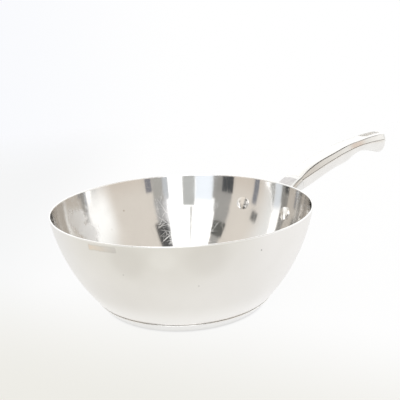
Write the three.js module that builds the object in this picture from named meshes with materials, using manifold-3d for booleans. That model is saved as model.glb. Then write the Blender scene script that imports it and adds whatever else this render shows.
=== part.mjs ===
// Stainless saucepan with a flared wall, an encapsulated base and a riveted hollow handle.
// Millimetres, +Z up. The origin is the centre of the base on the table, and the handle runs along +X.

import * as THREE from "three";
import { mergeVertices } from "three/addons/utils/BufferGeometryUtils.js";
import Module from "manifold-3d";

const wasm = await Module();
wasm.setup();

// Bowl
const RIM_DIAMETER = 240;
const BODY_HEIGHT = 91.5;
const BODY_SHEET = 1.2;
const WALL_ARC_RADIUS = 166;
const RIM_FLARE_DEG = 8.4;
const FLOOR_CORNER_RADIUS = 12;
const RIM_EDGE_RADIUS = 0.4;

// Encapsulated base
const CAPSULE_SHEET = 0.8;
const CAPSULE_LIP = 3;
const CAPSULE_SIDE_LEAN_DEG = 42;
const CAPSULE_CORNER_RADIUS = 2.5;
const DISC_THICKNESS = 5.6;

// Rivets
const RIVET_DROP = 28;
const RIVET_SPACING = 61;
const RIVET_SHANK_DIAMETER = 6.4;
const RIVET_HEAD_DIAMETER = 13.6;
const RIVET_HEAD_HEIGHT = 2.2;
const RIVET_HEAD_DOME = 1.1;
const RIVET_TAIL_DIAMETER = 10.5;
const RIVET_TAIL_HEIGHT = 1.8;
const RIVET_TAIL_DOME = 0.9;

// Bracket
const PAD_THICKNESS = 3.2;
const PAD_LOBE_RADIUS = 11;
const PAD_MIDDLE_HEIGHT = 28;
const NECK_REACH = 38;
const NECK_DROP = 4.7;
const NECK_TO_RIVET_TAIL = 2.25;
const NECK_ROOT_HEIGHT = 20;
const NECK_WAIST_WIDTH = 27;
const NECK_WAIST_SHARE = 0.6;
const PAD_BLEND_SHARE = 0.55;
const SPIGOT_LENGTH = 16;

// Hollow handle
const HANDLE_LENGTH = 161;
const HANDLE_RISE = 23.6;
const GRIP_WIDTH = 24;
const GRIP_TOP_HEIGHT = 6.2;
const GRIP_BELLY_DEPTH = 15;
const HANDLE_SHEET = 1.2;
const HANDLE_CROWN = 1.2;
const TOP_EDGE_RADIUS = 1.6;
const SIDE_LEAN_DEG = 16;
const BELLY_FULLNESS = 2.4;
const END_ROUND_IN_PLAN = 13;
const END_ROUND_IN_SIDE_VIEW = 8;

// The seam's two control points, as shares of the handle's length and rise
const SEAM_CONTROLS = [
  { along: 0.42, rise: 0.86 },
  { along: 0.63, rise: 1.1 },
];

// Sections along the handle: share of its length, and shares of the grip's width,
// of its height above the seam and of its depth below the seam
const HANDLE_SECTIONS = [
  { at: 0.0, width: 0.96, top: 0.45, belly: 1.01 },
  { at: 0.09, width: 0.98, top: 0.87, belly: 1.05 },
  { at: 0.2, width: 1.0, top: 1.05, belly: 1.02 },
  { at: 0.36, width: 1.0, top: 0.97, belly: 0.98 },
  { at: 0.5, width: 0.97, top: 1.0, belly: 1.0 },
  { at: 0.6, width: 0.93, top: 0.97, belly: 0.72 },
  { at: 0.69, width: 0.92, top: 0.94, belly: 0.61 },
  { at: 0.79, width: 0.97, top: 1.06, belly: 0.76 },
  { at: 0.89, width: 1.05, top: 1.15, belly: 1.0 },
  { at: 1.0, width: 1.08, top: 1.16, belly: 1.2 },
];

// Hanging slot
const SLOT_LENGTH = 32;
const SLOT_WIDTH = 9;
const SLOT_END_MARGIN = 10;
const SLOT_LINER_SHEET = 0.8;

// Fits
const CLEARANCE = 0.3;
const SEAM_GAP = 0.3;

// Facets
const ROUND_STEPS = 60;
const WALL_STEP = 11;
const CORNER_STEPS = 4;
const SMALL_ROUND_STEPS = 20;
const DOME_STEPS = 3;
const NECK_STEPS = 8;
const HANDLE_STEPS = 18;
const HANDLE_END_STEPS = 6;
const CROWN_STEPS = 3;
const EDGE_STEPS = 2;
const BELLY_STEPS = 5;
const TIP_FLAT = 0.02;
const WELD_DISTANCE = 1e-4;
const SOLVE_STEPS = 20;

const RIM_RADIUS = RIM_DIAMETER / 2;
const FLOOR_Z = CAPSULE_SHEET + DISC_THICKNESS;
const CAPSULE_TOP = FLOOR_Z + CAPSULE_LIP;
const QUARTER = Math.PI / 2;

const radians = THREE.MathUtils.degToRad;
const point = (x, y) => new THREE.Vector2(x, y);

// A closed three.js geometry as a solid that can be joined and cut
function solidOf(geometry) {
  geometry.deleteAttribute("normal");
  geometry.deleteAttribute("uv");
  const merged = mergeVertices(geometry, WELD_DISTANCE);
  const index = merged.index.array;
  const triangles = [];
  for (let i = 0; i < index.length; i += 3) {
    const [a, b, c] = index.slice(i, i + 3);
    if (a !== b && b !== c && c !== a) triangles.push(a, b, c);
  }
  const mesh = new wasm.Mesh({
    numProp: 3,
    vertProperties: new Float32Array(merged.attributes.position.array),
    triVerts: new Uint32Array(triangles),
  });
  return new wasm.Manifold(mesh);
}

function geometryOf(solid) {
  const mesh = solid.getMesh();
  const geometry = new THREE.BufferGeometry();
  geometry.setAttribute("position", new THREE.BufferAttribute(mesh.vertProperties, 3));
  geometry.setIndex(new THREE.BufferAttribute(mesh.triVerts, 1));
  geometry.computeVertexNormals();
  return geometry;
}

// Points along an arc from one angle to another, both ends included
function arcPoints(centre, radius, from, to, steps) {
  const points = [];
  for (let i = 0; i <= steps; i++) {
    const angle = from + ((to - from) * i) / steps;
    points.push(point(centre.x + radius * Math.cos(angle), centre.y + radius * Math.sin(angle)));
  }
  return points;
}

// A closed profile of (radius, height) points turned about the Z axis
function turnedGeometry(profile, steps) {
  const geometry = new THREE.LatheGeometry([...profile, profile[0]], steps);
  geometry.rotateX(QUARTER);
  return geometry;
}

function turned(profile) {
  return solidOf(turnedGeometry(profile, ROUND_STEPS));
}

// A flat outline raised along the axis that it faces
function raisedGeometry(outline, from, to) {
  const geometry = new THREE.ExtrudeGeometry(outline, {
    depth: to - from,
    bevelEnabled: false,
    curveSegments: Math.ceil(SMALL_ROUND_STEPS / 2),
  });
  geometry.translate(0, 0, from);
  return geometry;
}

// Rings of points joined into one closed skin, with a fan on the first and the last ring
function lofted(rings) {
  const count = rings[0].length;
  const positions = [];
  const index = [];
  for (const ring of rings) {
    for (const p of ring) positions.push(p.x, p.y, p.z);
  }
  for (let i = 0; i + 1 < rings.length; i++) {
    for (let j = 0; j < count; j++) {
      const a = i * count + j;
      const b = i * count + ((j + 1) % count);
      index.push(a, b, a + count, b, b + count, a + count);
    }
  }
  const addCap = (ring, start, facesBack) => {
    const middle = new THREE.Vector3();
    for (const p of ring) middle.addScaledVector(p, 1 / count);
    const hub = positions.length / 3;
    positions.push(middle.x, middle.y, middle.z);
    for (let j = 0; j < count; j++) {
      const a = start + j;
      const b = start + ((j + 1) % count);
      index.push(hub, ...(facesBack ? [b, a] : [a, b]));
    }
  };
  addCap(rings[0], 0, true);
  addCap(rings.at(-1), (rings.length - 1) * count, false);
  const geometry = new THREE.BufferGeometry();
  geometry.setAttribute("position", new THREE.Float32BufferAttribute(positions, 3));
  geometry.setIndex(index);
  return solidOf(geometry);
}

// The bowl's skin: a flat floor, a corner fillet and one long arc up to the rim.
// Offset zero is the outside of the sheet, and a positive offset lies outside it.
const wallCentre = point(
  RIM_RADIUS - WALL_ARC_RADIUS * Math.cos(radians(RIM_FLARE_DEG)),
  BODY_HEIGHT + WALL_ARC_RADIUS * Math.sin(radians(RIM_FLARE_DEG)),
);
const cornerZ = FLOOR_Z + FLOOR_CORNER_RADIUS;
const cornerReach = WALL_ARC_RADIUS - FLOOR_CORNER_RADIUS;
const cornerCentre = point(
  wallCentre.x + Math.sqrt(cornerReach ** 2 - (cornerZ - wallCentre.y) ** 2),
  cornerZ,
);
const cornerAngle = Math.atan2(cornerCentre.y - wallCentre.y, cornerCentre.x - wallCentre.x);

// Radius of the outer skin at a height
function wallRadiusAt(z) {
  const tangentZ = wallCentre.y + WALL_ARC_RADIUS * Math.sin(cornerAngle);
  const [centre, radius] =
    z < tangentZ ? [cornerCentre, FLOOR_CORNER_RADIUS] : [wallCentre, WALL_ARC_RADIUS];
  return centre.x + Math.sqrt(radius ** 2 - (z - centre.y) ** 2);
}

// A skin's profile from the axis out along the floor and up to a height
function skinProfile(offset, topZ) {
  const arc = WALL_ARC_RADIUS + offset;
  const topAngle = Math.asin((topZ - wallCentre.y) / arc);
  const steps = Math.ceil((WALL_ARC_RADIUS * (topAngle - cornerAngle)) / WALL_STEP);
  return [
    point(0, FLOOR_Z - offset),
    ...arcPoints(cornerCentre, FLOOR_CORNER_RADIUS + offset, -QUARTER, cornerAngle, CORNER_STEPS),
    ...arcPoints(wallCentre, arc, cornerAngle, topAngle, steps).slice(1),
  ];
}

// Everything inside a skin, up to the rim
function skinSolid(offset) {
  return turned([...skinProfile(offset, BODY_HEIGHT), point(0, BODY_HEIGHT)]);
}

// Pressed bowl: the outer skin, a rim with broken edges and the inner skin
function panBody() {
  const edge = Math.min(RIM_EDGE_RADIUS, BODY_SHEET / 3);
  const shoulderZ = BODY_HEIGHT - edge;
  const outside = skinProfile(0, shoulderZ);
  const inside = skinProfile(-BODY_SHEET, shoulderZ);
  const outerRound = point(outside.at(-1).x - edge, shoulderZ);
  const innerRound = point(inside.at(-1).x + edge, shoulderZ);
  const bowl = turned([
    ...outside,
    ...arcPoints(outerRound, edge, 0, QUARTER, EDGE_STEPS).slice(1),
    ...arcPoints(innerRound, edge, QUARTER, Math.PI, EDGE_STEPS).slice(0, -1),
    ...inside.reverse(),
  ]);
  return withRivetHoles(bowl);
}

// The capsule's side leans out from a rounded foot to a lip that lies against the bowl
const sideLean = radians(CAPSULE_SIDE_LEAN_DEG);
const sideSheet = CAPSULE_SHEET / Math.cos(sideLean);
const lipRadius = wallRadiusAt(CAPSULE_TOP) + CLEARANCE;

// Radius of the capsule's inner side at a height, moved outward by a distance
function capsuleSideAt(z, outward) {
  return lipRadius + outward - (CAPSULE_TOP - z) * Math.tan(sideLean);
}

// One face of the capsule, from the axis along the foot and up to the lip
function capsuleFace(footZ, outward, cornerRadius) {
  const centreZ = footZ + cornerRadius;
  const centreR = capsuleSideAt(centreZ, outward) - cornerRadius / Math.cos(sideLean);
  return [
    point(0, footZ),
    ...arcPoints(point(centreR, centreZ), cornerRadius, -QUARTER, -sideLean, CORNER_STEPS),
    point(lipRadius + outward, CAPSULE_TOP),
  ];
}

function baseCapsule() {
  const outer = capsuleFace(0, sideSheet, CAPSULE_CORNER_RADIUS);
  const inner = capsuleFace(CAPSULE_SHEET, 0, CAPSULE_CORNER_RADIUS - CAPSULE_SHEET);
  return turned([...outer, ...inner.reverse()]);
}

// The disc fills the capsule between its foot and the bowl's floor
function heatSpreaderDisc() {
  const inward = -CLEARANCE / Math.cos(sideLean);
  const cornerRadius = CAPSULE_CORNER_RADIUS - CAPSULE_SHEET;
  const face = capsuleFace(CAPSULE_SHEET, inward, cornerRadius).slice(0, -1);
  const topRadius = Math.min(cornerCentre.x, capsuleSideAt(FLOOR_Z, inward));
  return turned([...face, point(topRadius, FLOOR_Z), point(0, FLOOR_Z)]);
}

// Rivets stand square to the wall, on an axis that starts on the bowl's outer skin
const rivetZ = BODY_HEIGHT - RIVET_DROP;
const rivetRadius = wallRadiusAt(rivetZ);
const rivetTurn = Math.asin(RIVET_SPACING / 2 / rivetRadius);
const rivetTilt = Math.asin((wallCentre.y - rivetZ) / WALL_ARC_RADIUS);
const shankRadius = RIVET_SHANK_DIAMETER / 2;
const padFace = CLEARANCE + PAD_THICKNESS;

// A closed profile turned about a rivet's axis, with heights that count outward from the skin
function onRivetAxis(profile, side) {
  const turn = side * rivetTurn;
  const outward = new THREE.Vector3(Math.cos(turn), Math.sin(turn), -Math.tan(rivetTilt)).normalize();
  const seat = new THREE.Vector3(Math.cos(turn) * rivetRadius, Math.sin(turn) * rivetRadius, rivetZ);
  const aim = new THREE.Quaternion().setFromUnitVectors(new THREE.Vector3(0, 0, 1), outward);
  const geometry = turnedGeometry(profile, SMALL_ROUND_STEPS);
  geometry.applyQuaternion(aim);
  geometry.translate(seat.x, seat.y, seat.z);
  return solidOf(geometry);
}

function rivetBar(radius, from, to, side) {
  return onRivetAxis([point(0, from), point(radius, from), point(radius, to), point(0, to)], side);
}

function withRivetHoles(solid) {
  const radius = shankRadius + CLEARANCE;
  const reach = BODY_SHEET + padFace + PAD_LOBE_RADIUS;
  let drilled = solid;
  for (const side of [-1, 1]) drilled = drilled.subtract(rivetBar(radius, -reach, reach, side));
  return drilled;
}

// A domed button that starts on the skin and stands to a height, outward for facing 1
function buttonProfile(diameter, height, dome, facing) {
  const radius = diameter / 2;
  const ball = (radius ** 2 + dome ** 2) / (2 * dome);
  const edgeAngle = Math.asin((ball - dome) / ball);
  const cap = arcPoints(point(0, height - ball), ball, edgeAngle, QUARTER, DOME_STEPS);
  const profile = [point(0, 0), point(radius, 0), ...cap];
  profile.at(-1).x = 0;
  if (facing > 0) return profile;
  return profile.map((p) => point(p.x, -p.y)).reverse();
}

// The head seats on the bowl's inner face and the formed tail on the bracket's pad
function rivet(side) {
  const headFace = BODY_SHEET + CLEARANCE + RIVET_HEAD_HEIGHT;
  const tailFace = padFace + CLEARANCE + RIVET_TAIL_HEIGHT;
  const head = onRivetAxis(buttonProfile(RIVET_HEAD_DIAMETER, headFace, RIVET_HEAD_DOME, -1), side);
  const tail = onRivetAxis(buttonProfile(RIVET_TAIL_DIAMETER, tailFace, RIVET_TAIL_DOME, 1), side);
  const shank = rivetBar(shankRadius, RIVET_HEAD_DOME - headFace, tailFace - RIVET_TAIL_DOME, side);
  const seatedHead = head.intersect(skinSolid(-BODY_SHEET - CLEARANCE));
  const seatedTail = tail.subtract(skinSolid(padFace + CLEARANCE));
  return shank.add(seatedHead).add(seatedTail);
}

// The handle's own frame starts at the root of its shells. Its spine is the seam between them.
const handleRoot = new THREE.Vector3(RIM_RADIUS + NECK_REACH, 0, BODY_HEIGHT - NECK_DROP);
const spine = new THREE.CubicBezierCurve(
  point(0, 0),
  ...SEAM_CONTROLS.map((c) => point(HANDLE_LENGTH * c.along, HANDLE_RISE * c.rise)),
  point(HANDLE_LENGTH, HANDLE_RISE),
);

// The handle's sections in real sizes: half width at the seam, top edge above it and belly below it
const handleSections = HANDLE_SECTIONS.map((section) => ({
  at: section.at,
  half: (GRIP_WIDTH / 2) * section.width,
  up: GRIP_TOP_HEIGHT * section.top,
  down: GRIP_BELLY_DEPTH * section.belly,
}));

// A smooth value between listed sections
function sectionValue(rows, name, at) {
  let i = 0;
  while (i + 2 < rows.length && at > rows[i + 1].at) i++;
  const slopeAt = (k) => {
    const before = rows[Math.max(k - 1, 0)];
    const after = rows[Math.min(k + 1, rows.length - 1)];
    return (after[name] - before[name]) / (after.at - before.at);
  };
  const span = rows[i + 1].at - rows[i].at;
  const t = (at - rows[i].at) / span;
  return (
    rows[i][name] * (1 + 2 * t) * (1 - t) ** 2 +
    rows[i + 1][name] * t ** 2 * (3 - 2 * t) +
    span * t * (1 - t) * (slopeAt(i) * (1 - t) - slopeAt(i + 1) * t)
  );
}

// Half of a section from the middle of its crowned top, round the edge, to the middle of its belly
function halfSection(half, up, down, crown) {
  const lean = radians(SIDE_LEAN_DEG);
  const topHalf = half - up * Math.tan(lean);
  const edge = Math.min(TOP_EDGE_RADIUS, up / 2, topHalf / 2);
  const points = [];
  for (let i = 0; i < CROWN_STEPS; i++) {
    const share = i / CROWN_STEPS;
    points.push(point(share * (topHalf - edge), up + crown * (1 - share ** 2)));
  }
  points.push(...arcPoints(point(topHalf - edge, up - edge), edge, QUARTER, lean, EDGE_STEPS));
  for (let i = 0; i <= BELLY_STEPS; i++) {
    const angle = QUARTER * (i / BELLY_STEPS);
    const across = Math.max(0, Math.cos(angle)) ** (2 / BELLY_FULLNESS);
    const deep = Math.sin(angle) ** (2 / BELLY_FULLNESS);
    points.push(point(i < BELLY_STEPS ? half * across : 0, -down * deep));
  }
  return points;
}

// A whole section set square to a curve in the XZ plane
function sectionRing(place, along, half) {
  const put = (p, side) =>
    new THREE.Vector3(place.x - along.y * p.y, side * p.x, place.y + along.x * p.y);
  const right = half.map((p) => put(p, -1));
  const left = half.slice(1, -1).map((p) => put(p, 1));
  return [...right, ...left.reverse()];
}

// How far a rounded end has closed at a distance from its tip
function endRounding(distance, length) {
  const depth = Math.max(0, 1 - distance / length);
  return Math.sqrt(1 - depth ** 2);
}

// One ring of the handle's skin, drawn in by an inset
function handleRing(t, inset) {
  const place = spine.getPoint(t);
  const share = place.x / HANDLE_LENGTH;
  const distance = HANDLE_LENGTH - inset - place.x;
  const inPlan = endRounding(distance, END_ROUND_IN_PLAN - inset);
  const inSideView = endRounding(distance, END_ROUND_IN_SIDE_VIEW - inset);
  const size = (name) => sectionValue(handleSections, name, share) - inset;
  const half = halfSection(
    size("half") * inPlan,
    size("up") * inSideView,
    size("down") * inSideView,
    HANDLE_CROWN * inSideView,
  );
  return sectionRing(place, spine.getTangent(Math.max(t, 0)), half);
}

// The curve's parameter at a distance along the handle
function spineAt(x) {
  let t = x / HANDLE_LENGTH;
  for (let i = 0; i < SOLVE_STEPS; i++) t += (x - spine.getPoint(t).x) / HANDLE_LENGTH;
  return t;
}

// The handle's outer skin, or its hollow, from a distance before or after its root to the rounded end
function handleSolid(inset, from) {
  const endStart = HANDLE_LENGTH - END_ROUND_IN_PLAN;
  const last = HANDLE_LENGTH - inset - TIP_FLAT;
  const distances = [];
  for (let i = 0; i <= HANDLE_STEPS; i++) {
    distances.push(from + ((endStart - from) * i) / HANDLE_STEPS);
  }
  for (let i = 1; i <= HANDLE_END_STEPS; i++) {
    distances.push(endStart + (last - endStart) * Math.sin((QUARTER * i) / HANDLE_END_STEPS));
  }
  return lofted(distances.map((x) => handleRing(spineAt(x), inset)));
}

// Everything above or below the seam, within reach of the handle
function seamSide(above) {
  const side = above ? 1 : -1;
  const reach = side * (HANDLE_RISE + HANDLE_LENGTH);
  const outline = new THREE.Shape();
  const before = -SPIGOT_LENGTH;
  const after = HANDLE_LENGTH + SPIGOT_LENGTH;
  outline.moveTo(before, reach);
  for (let i = 0; i <= HANDLE_STEPS; i++) {
    const x = before + ((after - before) * i) / HANDLE_STEPS;
    outline.lineTo(x, spine.getPoint(spineAt(x)).y + (side * SEAM_GAP) / 2);
  }
  outline.lineTo(after, reach);
  const geometry = raisedGeometry(outline, -HANDLE_LENGTH, HANDLE_LENGTH);
  geometry.rotateX(QUARTER);
  return solidOf(geometry);
}

// A round-ended slot near the handle's end, widened by a distance
function slotBar(widening) {
  const radius = SLOT_WIDTH / 2 + widening;
  const farX = HANDLE_LENGTH - SLOT_END_MARGIN - SLOT_WIDTH / 2;
  const nearX = farX - SLOT_LENGTH + SLOT_WIDTH;
  const outline = new THREE.Shape();
  outline.absarc(farX, 0, radius, -QUARTER, QUARTER, false);
  outline.absarc(nearX, 0, radius, QUARTER, -QUARTER, false);
  return solidOf(raisedGeometry(outline, -HANDLE_LENGTH, HANDLE_LENGTH));
}

// A pressed half of the hollow handle, cut for the slot's liner
function handleShell(above) {
  const skin = handleSolid(0, 0).subtract(handleSolid(HANDLE_SHEET, -SPIGOT_LENGTH / 2));
  return skin.intersect(seamSide(above)).subtract(slotBar(SLOT_LINER_SHEET + CLEARANCE));
}

// The liner ends flush with the handle's top and belly
function hangSlotLiner() {
  const tube = slotBar(SLOT_LINER_SHEET).subtract(slotBar(0));
  return tube.intersect(handleSolid(0, 0));
}

// The bracket's pad: two lobes round the rivets and a deeper middle, wrapped on the wall
function bracketPad() {
  const reach = RIVET_SPACING / 2;
  const blend = reach * PAD_BLEND_SHARE;
  const outline = new THREE.Shape();
  for (const side of [1, -1]) {
    const middleZ = rivetZ + (side * PAD_MIDDLE_HEIGHT) / 2;
    const lobeZ = rivetZ + side * PAD_LOBE_RADIUS;
    outline.absarc(side * reach, rivetZ, PAD_LOBE_RADIUS, -side * QUARTER, side * QUARTER, false);
    outline.bezierCurveTo(side * blend, lobeZ, side * blend, middleZ, 0, middleZ);
    outline.bezierCurveTo(-side * blend, middleZ, -side * blend, lobeZ, -side * reach, lobeZ);
  }
  const geometry = raisedGeometry(outline, 0, RIM_DIAMETER);
  const faceAlongX = new THREE.Matrix4().makeBasis(
    new THREE.Vector3(0, 1, 0),
    new THREE.Vector3(0, 0, 1),
    new THREE.Vector3(1, 0, 0),
  );
  geometry.applyMatrix4(faceAlongX);
  return solidOf(geometry).intersect(skinSolid(padFace));
}

// The neck climbs from the pad to the shells' root, from a wide oval to the handle's own section
function bracketNeck() {
  const start = point(rivetRadius - PAD_LOBE_RADIUS, rivetZ);
  const along = spine.getTangent(0);
  const end = point(handleRoot.x, handleRoot.z).addScaledVector(along, -CLEARANCE);
  const lift = end.distanceTo(start) / 3;
  const path = new THREE.CubicBezierCurve(
    start,
    point(start.x + lift, start.y),
    end.clone().addScaledVector(along, -lift),
    end,
  );
  const rootHalf = (RIVET_SPACING - RIVET_TAIL_DIAMETER) / 2 - NECK_TO_RIVET_TAIL;
  const shellRoot = handleSections[0];
  const sections = [
    { at: 0, half: rootHalf, up: NECK_ROOT_HEIGHT / 2, down: NECK_ROOT_HEIGHT / 2 },
    { ...shellRoot, at: NECK_WAIST_SHARE, half: NECK_WAIST_WIDTH / 2 },
    { ...shellRoot, at: 1 },
  ];
  const rings = [];
  for (let i = 0; i <= NECK_STEPS; i++) {
    const t = i / NECK_STEPS;
    const size = (name) => sectionValue(sections, name, t);
    const half = halfSection(size("half"), size("up"), size("down"), HANDLE_CROWN);
    rings.push(sectionRing(path.getPoint(t), path.getTangent(t), half));
  }
  return lofted(rings);
}

// The spigot reaches from inside the neck into the hollow handle
function bracketSpigot() {
  const rings = [];
  for (const x of [-SPIGOT_LENGTH / 2, 0, SPIGOT_LENGTH / 2, SPIGOT_LENGTH]) {
    const ring = handleRing(spineAt(x), HANDLE_SHEET + CLEARANCE);
    rings.push(ring.map((p) => p.add(handleRoot)));
  }
  return lofted(rings);
}

function handleBracket() {
  const casting = bracketPad().add(bracketNeck()).subtract(skinSolid(CLEARANCE));
  return withRivetHoles(casting).add(bracketSpigot());
}

// Finishes
const brushedSteel = { color: 0xd9d6d2, roughness: 0.32, metalness: 1 };
const polishedSteel = { color: 0xdedcd8, roughness: 0.16, metalness: 1 };
const bareAluminium = { color: 0xc9cbcd, roughness: 0.5, metalness: 1 };

function piece(name, solid, finish) {
  const mesh = new THREE.Mesh(geometryOf(solid), new THREE.MeshStandardMaterial(finish));
  mesh.name = name;
  return mesh;
}

const handle = new THREE.Group();
handle.position.copy(handleRoot);
handle.add(
  piece("handle_upper_shell", handleShell(true), polishedSteel),
  piece("handle_lower_shell", handleShell(false), polishedSteel),
  piece("hang_slot_liner", hangSlotLiner(), polishedSteel),
);

const saucepan = new THREE.Group();
saucepan.name = "saucepan";
saucepan.add(
  piece("pan_body", panBody(), brushedSteel),
  piece("heat_spreader_disc", heatSpreaderDisc(), bareAluminium),
  piece("base_capsule", baseCapsule(), brushedSteel),
  piece("handle_bracket", handleBracket(), polishedSteel),
  piece("rivet_left", rivet(1), polishedSteel),
  piece("rivet_right", rivet(-1), polishedSteel),
  handle,
);

export default saucepan;
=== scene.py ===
# Stainless saucepan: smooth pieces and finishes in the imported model's frame, in metres.
# The origin is the centre of the base on the table, +Z is up and the handle runs along +X.

import math

import bmesh
import bpy
from mathutils import Matrix, Vector


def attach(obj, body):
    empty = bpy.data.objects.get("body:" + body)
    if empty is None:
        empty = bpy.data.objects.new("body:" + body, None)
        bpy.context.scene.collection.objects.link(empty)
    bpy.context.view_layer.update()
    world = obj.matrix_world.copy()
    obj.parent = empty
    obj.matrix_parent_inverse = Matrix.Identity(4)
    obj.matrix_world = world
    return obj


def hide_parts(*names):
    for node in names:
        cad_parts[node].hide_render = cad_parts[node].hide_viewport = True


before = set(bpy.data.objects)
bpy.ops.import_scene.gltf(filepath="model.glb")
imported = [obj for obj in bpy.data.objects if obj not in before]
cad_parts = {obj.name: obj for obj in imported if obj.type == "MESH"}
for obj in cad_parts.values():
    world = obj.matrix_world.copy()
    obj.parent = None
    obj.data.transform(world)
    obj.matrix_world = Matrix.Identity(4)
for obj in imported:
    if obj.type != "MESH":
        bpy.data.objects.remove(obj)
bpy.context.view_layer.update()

BODY = "root"

# Bowl
RIM_RADIUS = 0.120
BODY_HEIGHT = 0.0915
BODY_SHEET = 0.0012
WALL_ARC_RADIUS = 0.166
RIM_FLARE = math.radians(8.4)
FLOOR_CORNER_RADIUS = 0.012
RIM_EDGE_RADIUS = 0.00045

# Encapsulated base
CAPSULE_SHEET = 0.0008
CAPSULE_LIP = 0.003
CAPSULE_SIDE_LEAN = math.radians(42)
CAPSULE_CORNER_RADIUS = 0.0025
CAPSULE_LIP_ROUND = 0.0003
CAPSULE_LIP_GAP = 0.0001
DISC_THICKNESS = 0.0056

# Rivets
RIVET_DROP = 0.028
RIVET_SPACING = 0.061
RIVET_SHANK_RADIUS = 0.0032
RIVET_HEAD_RADIUS = 0.0068
RIVET_HEAD_HEIGHT = 0.0022
RIVET_HEAD_DOME = 0.0011
RIVET_TAIL_RADIUS = 0.00525
RIVET_TAIL_HEIGHT = 0.0018
RIVET_TAIL_DOME = 0.0009
RIVET_EDGE_ROUND = 0.0004

# Bracket
PAD_THICKNESS = 0.0032
PAD_LOBE_RADIUS = 0.011
PAD_MIDDLE_HEIGHT = 0.028
PAD_BLEND_SHARE = 0.55
NECK_REACH = 0.038
NECK_DROP = 0.0047
NECK_TO_RIVET_TAIL = 0.00225
NECK_ROOT_HEIGHT = 0.020
NECK_WAIST_WIDTH = 0.027
NECK_WAIST_SHARE = 0.6
SPIGOT_LENGTH = 0.016
CASTING_OVERRUN = 0.004
CASTING_VOXEL = 0.0005
CASTING_SMOOTHING = 14

# Hollow handle
HANDLE_LENGTH = 0.161
HANDLE_RISE = 0.0236
GRIP_WIDTH = 0.024
GRIP_TOP_HEIGHT = 0.0062
GRIP_BELLY_DEPTH = 0.015
HANDLE_SHEET = 0.0012
HANDLE_CROWN = 0.0012
TOP_EDGE_RADIUS = 0.0028
SEAM_EDGE_RADIUS = 0.0004
SIDE_LEAN = math.radians(16)
BELLY_FULLNESS = 2.4
END_ROUND_IN_PLAN = 0.013
END_ROUND_IN_SIDE_VIEW = 0.008

# The seam's two control points, as shares of the handle's length and rise
SEAM_CONTROLS = ((0.42, 0.86), (0.63, 1.1))

# Sections along the handle: share of its length, and shares of the grip's width,
# of its height above the seam and of its depth below the seam
HANDLE_SECTIONS = (
    (0.0, 0.96, 0.45, 1.01),
    (0.09, 0.98, 0.87, 1.05),
    (0.2, 1.0, 1.05, 1.02),
    (0.36, 1.0, 0.97, 0.98),
    (0.5, 0.97, 1.0, 1.0),
    (0.6, 0.93, 0.97, 0.72),
    (0.69, 0.92, 0.94, 0.61),
    (0.79, 0.97, 1.06, 0.76),
    (0.89, 1.05, 1.15, 1.0),
    (1.0, 1.08, 1.16, 1.2),
)

# Hanging slot
SLOT_LENGTH = 0.032
SLOT_WIDTH = 0.009
SLOT_END_MARGIN = 0.010
SLOT_LINER_SHEET = 0.0008

# Fits
CLEARANCE = 0.0003
SEAM_GAP = 0.0002
NECK_GAP = 0.0001

# Facets
TURN_STEPS = 240
SMALL_TURN_STEPS = 64
TOOL_TURN_STEPS = 180
WALL_STEPS = 48
CORNER_STEPS = 10
ROUND_STEPS = 4
DOME_STEPS = 10
HANDLE_STEPS = 110
HANDLE_END_STEPS = 22
NECK_STEPS = 40
CROWN_STEPS = 10
EDGE_STEPS = 8
SIDE_STEPS = 6
BELLY_STEPS = 26
SLOT_STEPS = 28
SOLVE_STEPS = 24
SMOOTH_ANGLE = math.radians(38)
WELD_DISTANCE = 1e-7

# Camera, from the photograph's vanishing lines and the rim's ellipse
IMAGE_SIZE = 400
FOCAL_PIXELS = 600
SENSOR_WIDTH = 36.0
CAMERA_DISTANCE = 0.587
CAMERA_ELEVATION = math.radians(23.98)
CAMERA_SIDE = math.radians(-127.9)
CAMERA_YAW = math.radians(1.85)
CAMERA_PITCH = math.radians(15.10)
CAMERA_ROLL = math.radians(-2.20)
CAMERA_CLIP = 0.01

QUARTER = math.pi / 2
FLOOR_Z = CAPSULE_SHEET + DISC_THICKNESS
CAPSULE_TOP = FLOOR_Z + CAPSULE_LIP
PAD_FACE = CLEARANCE + PAD_THICKNESS


# Mesh tools

def arc(centre, radius, start, end, steps):
    """Points on an arc from one angle to another, both ends included."""
    points = []
    for i in range(steps + 1):
        angle = start + (end - start) * i / steps
        points.append((centre[0] + radius * math.cos(angle), centre[1] + radius * math.sin(angle)))
    return points


def piece_from(work, name):
    """A closed bmesh as an object with smooth faces and crisp edges."""
    bmesh.ops.remove_doubles(work, verts=work.verts, dist=WELD_DISTANCE)
    bmesh.ops.dissolve_degenerate(work, edges=work.edges, dist=WELD_DISTANCE)
    bmesh.ops.recalc_face_normals(work, faces=work.faces)
    mesh = bpy.data.meshes.new(name)
    work.to_mesh(mesh)
    work.free()
    piece = bpy.data.objects.new(name, mesh)
    bpy.context.scene.collection.objects.link(piece)
    shade(piece)
    return piece


def shade(piece):
    piece.data.shade_smooth()
    piece.data.set_sharp_from_angle(angle=SMOOTH_ANGLE)


def settle(piece):
    """Writes a piece's modifiers into its mesh."""
    graph = bpy.context.evaluated_depsgraph_get()
    mesh = bpy.data.meshes.new_from_object(piece.evaluated_get(graph))
    old = piece.data
    piece.modifiers.clear()
    piece.data = mesh
    bpy.data.meshes.remove(old)
    shade(piece)


def combine(piece, tool, operation):
    """Joins or cuts a piece with a tool, which is used up."""
    modifier = piece.modifiers.new("combine", "BOOLEAN")
    modifier.operation = operation
    modifier.solver = "EXACT"
    modifier.object = tool
    settle(piece)
    bpy.data.objects.remove(tool)
    return piece


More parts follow.
